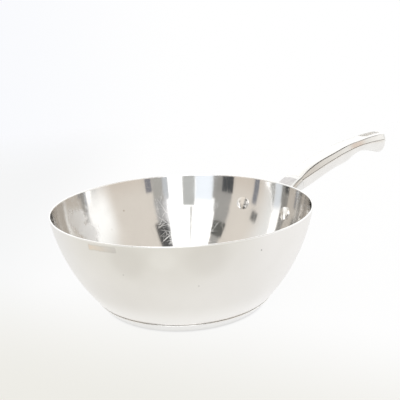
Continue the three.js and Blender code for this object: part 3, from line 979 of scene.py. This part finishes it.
def spun_steel():
    """Satin outside of the bowl: fine lines round it, soft clouds, painted shade and sheen in patches, a
    painted brighter low wall, a heat tint and a few specks.
    """
    material, tree, shader = finish("spun_steel")
    turned_place = tree.turned_place()
    place = tree.place()
    lines = tree.grain(turned_place, *SPUN_LINES)
    bands = tree.grain(turned_place, *SPUN_BANDS)
    clouds = tree.noise(place, *SPUN_CLOUDS)
    colour = tree.blend(tree.step(clouds, *SPUN_CLOUD_LEVELS), SATIN_SHADE, SATIN)
    # Painted shade and painted sheen in patches, then a painted brighter reflection on the low wall
    colour = tree.blend(spots(tree, place, OUTSIDE_PAINTED_SHADE, clouds), colour, SATIN_PAINTED_SHADE)
    colour = tree.blend(spots(tree, place, OUTSIDE_PAINTED_SHEEN, clouds), colour, SATIN_PAINTED_SHEEN)
    low = tree.step(tree.along(place, UP), *LOW_WALL, LOW_WALL_SHARE, 0.0)
    colour = tree.blend(low, colour, SATIN_PAINTED_SHEEN)
    colour = heat_tint(tree, place, colour)
    ragged = tree.noise(place, *SPECK_EDGE)
    colour = tree.blend(spots(tree, place, OUTSIDE_SPECKS, ragged), colour, SPECK)
    # Painted highlight on the rim's band
    colour = tree.blend(rim_band(tree, place), colour, RIM_PAINTED_HIGHLIGHT)
    roughness = tree.math("MULTIPLY_ADD", lines, SPUN_LINE_ROUGHNESS, SPUN_ROUGHNESS)
    height = tree.math("MULTIPLY_ADD", bands, SPUN_BAND_SHARE, lines)
    dress_shader(tree, shader, colour, roughness, tree.bump(height, SPUN_RELIEF))
    return material


MIRROR_CLOUDS = (18.0, 4.0)
MARK_EDGE = (700.0, 2.0)
WEAR_EDGE = (55.0, 4.0)
MIRROR_BRUSHING = ((700.0, 25.0, 1.0), 2.0)
BRUSHING_LEVELS = (0.5, 0.8)
MIRROR_RIPPLE = ((45.0, 22.0, 1.0), 0.0)
MIRROR_LEVELS = (0.35, 0.75)
MIRROR_ROUGHNESS = (0.05, 0.10)
BRUSHING_ROUGHNESS = 0.08
SCRATCH_ROUGHNESS = 0.30
RIM_ROUGHNESS = 0.2
SCRATCH_RELIEF = 0.000001
RIPPLE_RELIEF = 0.00006


def mirror_steel():
    """Polished inside of the bowl and its rim: a mirror with haze, ripples, scratches and a few marks."""
    material, tree, shader = finish("mirror_steel")
    turned_place = tree.turned_place()
    place = tree.place()
    clouds = tree.noise(place, *MIRROR_CLOUDS)
    colour = tree.blend(tree.step(clouds, *CLOUD_LEVELS), MIRROR_SHADE, MIRROR)
    ragged = tree.noise(place, *MARK_EDGE)
    colour = tree.blend(spots(tree, place, INSIDE_MARKS, ragged), colour, RUST)
    band = rim_band(tree, place)
    # Painted highlight on the rim's band, which is also made rougher below
    colour = tree.blend(band, colour, RIM_PAINTED_HIGHLIGHT)
    wobble = tree.step(tree.noise(place, *WEAR_EDGE), *CLOUD_LEVELS)
    haze = spots(tree, place, INSIDE_HAZE, wobble)
    colour = tree.blend(tree.math("MULTIPLY", haze, HAZE_SHARE), colour, HAZE)
    marks = scratches(tree, turned_place, spots(tree, place, INSIDE_WORN, wobble))
    brushing = tree.step(tree.grain(turned_place, *MIRROR_BRUSHING), *BRUSHING_LEVELS)
    roughness = tree.step(clouds, *MIRROR_LEVELS, *MIRROR_ROUGHNESS)
    roughness = tree.math("MULTIPLY_ADD", brushing, BRUSHING_ROUGHNESS, roughness)
    roughness = tree.math("MULTIPLY_ADD", marks, SCRATCH_ROUGHNESS, roughness)
    roughness = tree.math("ADD", haze, roughness)
    roughness = tree.math("MULTIPLY_ADD", band, RIM_ROUGHNESS, roughness)
    ripple = tree.grain(turned_place, *MIRROR_RIPPLE)
    normal = tree.bump(marks, SCRATCH_RELIEF, tree.bump(ripple, RIPPLE_RELIEF))
    dress_shader(tree, shader, colour, roughness, normal)
    return material


TURNED_LINES = ((12.0, 1500.0, 1.0), 3.0)
TURNED_CLOUDS = (40.0, 3.0)
TURNED_LINE_ROUGHNESS = 0.10
TURNED_RELIEF = 0.000008
CAPSULE_ROUGHNESS = 0.2
RIVET_ROUGHNESS = 0.1


def turned_steel(name, roughness, first, second):
    """Base and rivets, with turning marks round the axis."""
    material, tree, shader = finish(name)
    lines = tree.grain(tree.turned_place(), *TURNED_LINES)
    clouds = tree.noise(tree.place(), *TURNED_CLOUDS)
    colour = tree.blend(tree.step(clouds, *CLOUD_LEVELS), first, second)
    rough = tree.math("MULTIPLY_ADD", lines, TURNED_LINE_ROUGHNESS, roughness)
    dress_shader(tree, shader, colour, rough, tree.bump(lines, TURNED_RELIEF))
    return material


# The grip's sides get painted shade, darker than its top: how far up their faces look, a warmer length of
# the painted shade with its soft ends, and where its lighter end starts
FLANK_UPWARD = (0.45, 0.75)
FLANK_WARM_REACH = (0.244, 0.270)
FLANK_WARM_SOFTNESS = 0.008
FLANK_BRIGHT_START = 0.282

BUFFED_CLOUDS = (60.0, 4.0)
BUFFED_LINES = ((25.0, 1800.0, 1800.0), 2.0)
BUFFED_ROUGHNESS = (0.14, 0.2)
BUFFED_LINE_ROUGHNESS = 0.10
BUFFED_RELIEF = 0.000006


def upward(tree):
    """How far a face looks up, from minus one to one."""
    return tree.along(tree.node("ShaderNodeNewGeometry").outputs["Normal"], UP)


def polished_steel(name, painted_flank_shade):
    """Buffed handle with fine lines along it, soft hand marks and, on the upper half, painted shade on its
    sides.
    """
    material, tree, shader = finish(name)
    place = tree.place()
    clouds = tree.noise(place, *BUFFED_CLOUDS)
    lines = tree.grain(place, *BUFFED_LINES)
    colour = tree.blend(tree.step(clouds, *CLOUD_LEVELS), POLISHED_SHADE, POLISHED)
    rough = tree.step(clouds, *CLOUD_LEVELS, *BUFFED_ROUGHNESS)
    rough = tree.math("MULTIPLY_ADD", lines, BUFFED_LINE_ROUGHNESS, rough)
    if painted_flank_shade:
        # Painted shade on the sides, by how far their faces look up, warmer over one length and lighter at
        # the end
        along = tree.along(place, ALONG_HANDLE)
        warmth = tree.window(along, *FLANK_WARM_REACH, FLANK_WARM_SOFTNESS)
        side = tree.step(upward(tree), *FLANK_UPWARD, 1.0, 0.0)
        painted_side_shade = tree.blend(warmth, FLANK_PAINTED_SHADE, FLANK_WARM_PAINTED_SHADE)
        tip = tree.above(along, FLANK_BRIGHT_START, FLANK_WARM_SOFTNESS)
        colour = tree.blend(side, colour, tree.blend(tip, painted_side_shade, FLANK_TIP_PAINTED_SHADE))
    dress_shader(tree, shader, colour, rough, tree.bump(lines, BUFFED_RELIEF))
    return material


# The neck's top is darker and rougher in a patch behind the rim: from and to along the handle, the near
# edge across it, a soft edge, and how far up the patch's faces and those of the underside look
DULL_REACH = (0.110, 0.1525)
DULL_EDGE = -0.008
DULL_SOFTNESS = 0.0006
DULL_UPWARD = (0.5, 0.7)
UNDERSIDE_UPWARD = (-0.1, 0.1)

# Parting line along the neck's sides, in line with the handle's seam, with painted shade in its shallow
# groove
PARTING_HALF_WIDTH = 0.0002
PARTING_SOFTNESS = 0.00015
PARTING_SHARE = 0.6

CAST_GRAIN = (350.0, 4.0)
CAST_STREAKS = ((120.0, 420.0, 120.0), 2.0)
CAST_STREAK_LEVELS = (0.4, 0.65)
CAST_STREAK_SHARE = (1.0, 0.6)
CAST_ROUGHNESS = (0.16, 0.34)
CAST_GRAIN_ROUGHNESS = 0.10
CAST_RELIEF = 0.00001


def parting_line(tree, place):
    """A thin line on both sides of the neck."""
    start = bezier(neck_path, 0.5)[0]
    run = (neck_end - start).normalized()
    above = tree.along(place, (-run.y, 0.0, run.x))
    level = neck_end.y * run.x - neck_end.x * run.y
    return tree.window(above, level - PARTING_HALF_WIDTH, level + PARTING_HALF_WIDTH, PARTING_SOFTNESS)


def cast_steel():
    """Cast bracket: buffed where it shows, with painted shade on the neck's sides, and darker and rougher
    on the top of the neck behind the rim.
    """
    material, tree, shader = finish("cast_bracket")
    place = tree.place()
    grain = tree.noise(place, *CAST_GRAIN)
    streaks = tree.grain(place, *CAST_STREAKS)
    up = upward(tree)
    dull = tree.window(tree.along(place, ALONG_HANDLE), *DULL_REACH, DULL_SOFTNESS)
    beside = tree.above(tree.along(place, ACROSS_HANDLE), DULL_EDGE, DULL_SOFTNESS)
    dull = tree.math("MULTIPLY", dull, beside)
    dull = tree.math("MULTIPLY", dull, tree.step(up, *DULL_UPWARD))
    worn = tree.math("MULTIPLY", dull, tree.step(streaks, *CAST_STREAK_LEVELS, *CAST_STREAK_SHARE))
    # Painted shade on the neck's sides, as on the grip's, but not on its underside
    colour = tree.blend(tree.step(up, *FLANK_UPWARD, 1.0, 0.0), CAST, FLANK_PAINTED_SHADE)
    colour = tree.blend(tree.step(up, *UNDERSIDE_UPWARD, 1.0, 0.0), colour, CAST)
    colour = tree.blend(worn, colour, CAST_DULL)
    line = parting_line(tree, place)
    # Painted shade along the parting line
    colour = tree.blend(tree.math("MULTIPLY", line, PARTING_SHARE), colour, GROOVE_PAINTED_SHADE)
    rough = tree.step(dull, 0.0, 1.0, *CAST_ROUGHNESS)
    rough = tree.math("MULTIPLY_ADD", grain, CAST_GRAIN_ROUGHNESS, rough)
    height = tree.math("SUBTRACT", grain, line)
    dress_shader(tree, shader, colour, rough, tree.bump(height, CAST_RELIEF))
    return material


LINER_METALLIC = 0.4
LINER_GRAIN = (1600.0, 3.0)
LINER_ROUGHNESS = 0.5
LINER_GRAIN_ROUGHNESS = 0.15
LINER_RELIEF = 0.00002


def blasted_steel():
    """Matt liner of the hanging slot."""
    material, tree, shader = finish("blasted_liner")
    shader.inputs["Metallic"].default_value = LINER_METALLIC
    grain = tree.noise(tree.place(), *LINER_GRAIN)
    colour = tree.blend(grain, LINER_SHADE, LINER)
    rough = tree.math("MULTIPLY_ADD", grain, LINER_GRAIN_ROUGHNESS, LINER_ROUGHNESS)
    dress_shader(tree, shader, colour, rough, tree.bump(grain, LINER_RELIEF))
    return material


MILL_GRAIN = ((30.0, 1400.0, 30.0), 3.0)
MILL_LEVELS = (0.2, 0.8)
MILL_ROUGHNESS = (0.4, 0.6)
MILL_RELIEF = 0.00001


def mill_aluminium():
    """Rolled face of the disc inside the base."""
    material, tree, shader = finish("mill_aluminium")
    grain = tree.grain(tree.place(), *MILL_GRAIN)
    colour = tree.blend(grain, ALUMINIUM_SHADE, ALUMINIUM)
    rough = tree.step(grain, *MILL_LEVELS, *MILL_ROUGHNESS)
    dress_shader(tree, shader, colour, rough, tree.bump(grain, MILL_RELIEF))
    return material


# Studio

FLOOR_RADIUS = 1.6
FLOOR_FADE = (0.55, 1.3)
FLOOR_COLOUR = (0.93, 0.93, 0.93, 1.0)
FLOOR_GLOW = 0.92
BACKDROP = (1.0, 1.0, 1.0, 1.0)
BACKDROP_COOL = (0.945, 0.955, 0.985, 1.0)
BACKDROP_COOL_REACH = (-0.35, 0.05)

# Painted shade on the floor for the pan's soft shadow: it turns warmer and a little darker towards the
# camera's left: direction and distances
WARM_FLOOR_PAINTED_SHADE = (0.845, 0.835, 0.785, 1.0)
WARM_FLOOR_SIDE = CAMERA_SIDE - math.radians(25)
WARM_FLOOR_REACH = (0.0, 0.2)
# Painted shade: the floor turns a little cooler and darker further round to the camera's left
COOL_FLOOR_PAINTED_SHADE = (0.91, 0.915, 0.92, 1.0)
COOL_FLOOR_SIDE = CAMERA_SIDE - QUARTER
COOL_FLOOR_REACH = (0.04, 0.28)

# The floor is shaded under the base, out to where the capsule's side begins
CONTACT_TONE = (0.7, 0.7, 0.7, 1.0)
CONTACT_REACH = (0.0735, 0.0785)

# Room in front of the pan, near the horizon and above it, and the light bank over the backdrop
ROOM_LOW = (0.80, 0.72, 0.635, 1.0)
ROOM = (0.90, 0.84, 0.765, 1.0)
BEHIND = (1.02, 1.02, 1.0, 1.0)
ROOM_RISE = (0.0, 16.0)
ROOM_EDGE = (78.0, 104.0)
BANK = (1.25, 1.25, 1.25, 1.0)
BANK_SIDE = (100.0, 125.0)
BANK_HEIGHT = (12.0, 64.0)
BANK_SOFTNESS = math.radians(9)

# Windows, screens and furniture in the room: degrees to the right of the camera as the pan
# sees it and degrees above the horizon, each from and to, a soft edge in degrees, then the colour
STUDIO_CARDS = (
    (-38, 18, -10, 75, 1.6, (2.3, 2.3, 2.3, 1.0)),
    (-33, -14.5, -10, 22, 2.2, (1.22, 1.3, 1.4, 1.0)),
    (-14.5, -1.5, -10, 25, 1.2, (0.66, 0.67, 0.66, 1.0)),
    (-12.6, -8.8, 25.5, 75, 0.7, (0.94, 0.94, 0.92, 1.0)),
    (12.3, 20, -10, 20, 1.2, (0.70, 0.73, 0.77, 1.0)),
    (14.8, 20, 17, 44, 2.2, (0.80, 0.80, 0.82, 1.0)),
    (18, 28.5, -10, 20.5, 1.2, (0.54, 0.53, 0.50, 1.0)),
    (19.5, 29, 19, 37, 1.8, (0.50, 0.50, 0.50, 1.0)),
    (16, 34, 34.5, 62, 1.3, (0.12, 0.12, 0.12, 1.0)),
    (29, 35.5, 3, 13.5, 0.7, (0.28, 0.28, 0.31, 1.0)),
    (-53, -32.3, -10, 19, 1.4, (0.41, 0.40, 0.38, 1.0)),
    (-53, -34.8, 14, 27, 2.0, (0.46, 0.45, 0.43, 1.0)),
    (-53, -36.6, 22, 34, 2.0, (0.46, 0.45, 0.43, 1.0)),
    (-52, -39, 38, 49, 1.4, (0.50, 0.49, 0.47, 1.0)),
    (-54, -37.4, 32.3, 42, 1.0, (0.17, 0.17, 0.16, 1.0)),
    (-54, -42, 3, 13.5, 0.6, (0.10, 0.105, 0.11, 1.0)),
    (-82, -76.5, -6, 14, 0.8, (0.28, 0.29, 0.32, 1.0)),
    (-88, -80, 17, 22, 0.9, (0.22, 0.22, 0.21, 1.0)),
    (77, 112, 3, 25, 9.0, (1.36, 1.36, 1.34, 1.0)),
    (65, 118, 42, 84, 2.0, (0.06, 0.06, 0.06, 1.0)),
    (87, 118, 35, 46, 2.0, (0.08, 0.08, 0.08, 1.0)),
)


def make_floor():
    """A round pale floor that fades into the backdrop and keeps the pan's shadow."""
    work = bmesh.new()
    bmesh.ops.create_circle(work, cap_ends=True, segments=SMALL_TURN_STEPS, radius=FLOOR_RADIUS)
    floor = piece_from(work, "studio_floor")
    material = bpy.data.materials.new("studio_floor")
    tree = Tree(material)
    place = tree.place()
    tone = BACKDROP
    # Painted shade: the floor's tone turns cooler, and warmer and darker, towards the camera's left
    for side, reach, tint in (
        (COOL_FLOOR_SIDE, COOL_FLOOR_REACH, COOL_FLOOR_PAINTED_SHADE),
        (WARM_FLOOR_SIDE, WARM_FLOOR_REACH, WARM_FLOOR_PAINTED_SHADE),
    ):
        distance = tree.along(place, (math.cos(side), math.sin(side), 0.0))
        tone = tree.blend(tree.step(distance, *reach), tone, tint)
    from_axis = tree.distance(place, (0.0, 0.0, 0.0))
    tone = tree.blend(tree.step(from_axis, *CONTACT_REACH), CONTACT_TONE, tone)
    path = tree.node("ShaderNodeLightPath").outputs
    seen = tree.math("MAXIMUM", path["Is Camera Ray"], path["Is Glossy Ray"])
    paint = tree.node("ShaderNodeBsdfDiffuse", {"Color": FLOOR_COLOUR}).outputs[0]
    glow = tree.node("ShaderNodeEmission", {"Color": tone}).outputs[0]
    share = tree.math("MULTIPLY", seen, FLOOR_GLOW)
    lit = tree.node("ShaderNodeMixShader", {0: share, 1: paint, 2: glow}).outputs[0]
    clear = tree.node("ShaderNodeBsdfTransparent").outputs[0]
    fade = tree.step(from_axis, *FLOOR_FADE)
    faded = tree.node("ShaderNodeMixShader", {0: fade, 1: lit, 2: clear}).outputs[0]
    tree.node("ShaderNodeOutputMaterial", {"Surface": faded})
    floor.data.materials.append(material)


def make_world():
    """A white backdrop with a light bank behind the pan, and a pale room with windows in front of it."""
    world = bpy.data.worlds.new("studio")
    bpy.context.scene.world = world
    tree = Tree(world)
    direction = tree.node("ShaderNodeTexCoord").outputs["Generated"]
    inputs = {"Vector": direction, "Angle": -CAMERA_SIDE}
    facing = tree.node("ShaderNodeVectorRotate", inputs, rotation_type="Z_AXIS").outputs[0]
    axes = tree.node("ShaderNodeSeparateXYZ", {0: facing}).outputs
    right = tree.math("ARCTAN2", axes["Y"], axes["X"])
    high = tree.math("ARCSINE", axes["Z"])
    away = tree.math("ABSOLUTE", right)
    room = tree.blend(tree.step(high, *map(math.radians, ROOM_RISE)), ROOM_LOW, ROOM)
    bank = tree.window(high, *map(math.radians, BANK_HEIGHT), BANK_SOFTNESS)
    bank = tree.math("MULTIPLY", bank, tree.step(away, *map(math.radians, BANK_SIDE)))
    behind = tree.blend(bank, BEHIND, BANK)
    colour = tree.blend(tree.step(away, *map(math.radians, ROOM_EDGE)), room, behind)
    for start, end, low, top, soft, card in STUDIO_CARDS:
        edge = math.radians(soft)
        across = tree.window(right, math.radians(start), math.radians(end), edge)
        upright = tree.window(high, math.radians(low), math.radians(top), edge)
        colour = tree.blend(tree.math("MULTIPLY", across, upright), colour, card)
    seen = tree.blend(tree.step(axes["Y"], *BACKDROP_COOL_REACH), BACKDROP_COOL, BACKDROP)
    camera_ray = tree.node("ShaderNodeLightPath").outputs["Is Camera Ray"]
    colour = tree.blend(camera_ray, colour, seen)
    background = tree.node("ShaderNodeBackground", {"Color": colour}).outputs[0]
    tree.node("ShaderNodeOutputWorld", {"Surface": background})


def make_camera():
    """The photograph's camera, turned from the pan's front to the side that the handle is seen from."""
    data = bpy.data.cameras.new("camera")
    data.sensor_width = SENSOR_WIDTH
    data.lens = SENSOR_WIDTH * FOCAL_PIXELS / IMAGE_SIZE
    data.clip_start = CAMERA_CLIP
    camera = bpy.data.objects.new("camera", data)
    bpy.context.scene.collection.objects.link(camera)
    reach = CAMERA_DISTANCE * math.cos(CAMERA_ELEVATION)
    place = Vector((0, -reach, CAMERA_DISTANCE * math.sin(CAMERA_ELEVATION)))
    ahead = Vector((
        math.sin(CAMERA_YAW) * math.cos(CAMERA_PITCH),
        math.cos(CAMERA_YAW) * math.cos(CAMERA_PITCH),
        -math.sin(CAMERA_PITCH),
    ))
    level = Vector((math.cos(CAMERA_YAW), -math.sin(CAMERA_YAW), 0))
    above = level.cross(ahead)
    right = level * math.cos(CAMERA_ROLL) + above * math.sin(CAMERA_ROLL)
    up = above * math.cos(CAMERA_ROLL) - level * math.sin(CAMERA_ROLL)
    axes = Matrix((right, up, -ahead)).transposed().to_4x4()
    turn = Matrix.Rotation(CAMERA_SIDE + QUARTER, 4, "Z")
    camera.matrix_world = turn @ Matrix.Translation(place) @ axes
    bpy.context.scene.camera = camera


# Assembly

def dress(piece, node, slot, *materials):
    """Puts a finished piece in the place of its CAD node."""
    for material in materials:
        piece.data.materials.append(material)
    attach(piece, BODY)
    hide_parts(node)


make_camera()
make_floor()
make_world()

dress(make_bowl(), "pan_body", "bowl_steel", spun_steel(), mirror_steel())
base_finish = turned_steel("turned_base", CAPSULE_ROUGHNESS, CAPSULE_SHADE, CAPSULE)
dress(make_capsule(), "base_capsule", "capsule_steel", base_finish)
for rivet_name, rivet_side in (("rivet_left", 1), ("rivet_right", -1)):
    rivet = make_rivet(rivet_name + "_formed", rivet_side)
    rivet_finish = turned_steel(rivet_name + "_steel", RIVET_ROUGHNESS, SATIN_SHADE, SATIN)
    dress(rivet, rivet_name, "rivet_steel", rivet_finish)
dress(make_bracket(), "handle_bracket", "handle_steel", cast_steel())
upper_finish = polished_steel("buffed_handle_painted_flanks", True)
lower_finish = polished_steel("buffed_handle", False)
dress(make_shell("handle_upper_pressing", True), "handle_upper_shell", "handle_steel", upper_finish)
dress(make_shell("handle_lower_pressing", False), "handle_lower_shell", "handle_steel", lower_finish)
dress(make_slot_liner(), "hang_slot_liner", "handle_steel", blasted_steel())

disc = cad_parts["heat_spreader_disc"]
disc.data.materials.clear()
disc.data.materials.append(mill_aluminium())

bpy.context.scene.view_settings.view_transform = "Standard"
